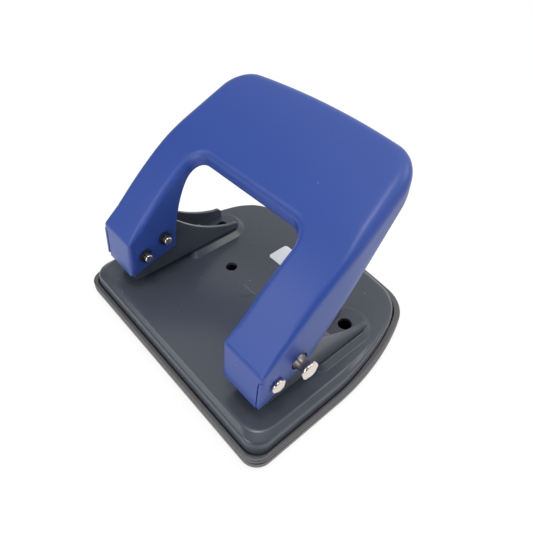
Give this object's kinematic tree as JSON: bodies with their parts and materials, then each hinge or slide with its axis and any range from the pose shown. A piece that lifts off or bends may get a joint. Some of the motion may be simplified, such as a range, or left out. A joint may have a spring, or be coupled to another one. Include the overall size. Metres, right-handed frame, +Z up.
{
  "type": "two-hole punch",
  "caption": "Desk paper punch with a wide sheet lever over two sprung punches, on a steel base with a plastic chip tray.",
  "frame": {"origin": "centre of the bounding box in plan, on the desk under the tray", "axes": "+X along the straight front edge to the side with the lock knob, +Y from the paper side to the back, +Z up"},
  "size_m": [0.1172, 0.1008, 0.086],
  "materials": {
    "lever_paint": "satin blue powder coat",
    "base_paint": "semi-gloss slate grey",
    "tray_plastic": "soft matt grey",
    "bright_steel": "nickel plated",
    "tool_steel": "ground",
    "spring_steel": "drawn wire",
    "black_clip": "blackened"
  },
  "bodies": {
    "base": {"base_plate": "base_paint", "left_bracket": "base_paint", "right_bracket": "base_paint", "bracket_rivets": "tool_steel", "left_spring": "spring_steel", "right_spring": "spring_steel"},
    "lever": {"lever": "lever_paint", "left_pivot_pin": "bright_steel", "right_pivot_pin": "bright_steel", "left_drive_pin": "bright_steel", "left_pivot_clip": "black_clip", "right_pivot_clip": "black_clip", "left_drive_clip": "black_clip"},
    "left_punch": {"left_punch": "tool_steel", "left_punch_clip": "black_clip", "left_spring_washer": "tool_steel"},
    "right_punch": {"right_punch": "tool_steel", "right_punch_clip": "black_clip", "right_spring_washer": "tool_steel"},
    "lock_knob": {"lock_knob": "bright_steel", "lock_clip": "black_clip"},
    "chip_tray": {"chip_tray": "tray_plastic"}
  },
  "joints": [
    {"name": "lever_press", "type": "hinge", "parent": "base", "child": "lever", "pos_m": [0, -0.03331, 0.0293], "axis": [-1, 0, 0], "range_deg": [0, 40], "stiffness_Nm_per_rad": 0.45, "springref_deg": -13.35},
    {"name": "left_punch_slide", "type": "slide", "parent": "base", "child": "left_punch", "axis": [0, 0, -1], "range_m": [0, 0.0072], "deforming": ["left_spring"]},
    {"name": "right_punch_slide", "type": "slide", "parent": "base", "child": "right_punch", "axis": [0, 0, -1], "range_m": [0, 0.0072], "deforming": ["right_spring"]},
    {"name": "lock_slide", "type": "slide", "parent": "lever", "child": "lock_knob", "axis": [-1, 0, 0], "range_m": [0, 0.004]},
    {"name": "tray_pull", "type": "slide", "parent": "base", "child": "chip_tray", "axis": [0, 0, -1], "range_m": [0, 0.03]}
  ],
  "couplings": [
    {"joint": "left_punch_slide", "follows": "lever_press", "m_per_rad": 0.010279},
    {"joint": "right_punch_slide", "follows": "lever_press", "m_per_rad": 0.010279}
  ]
}
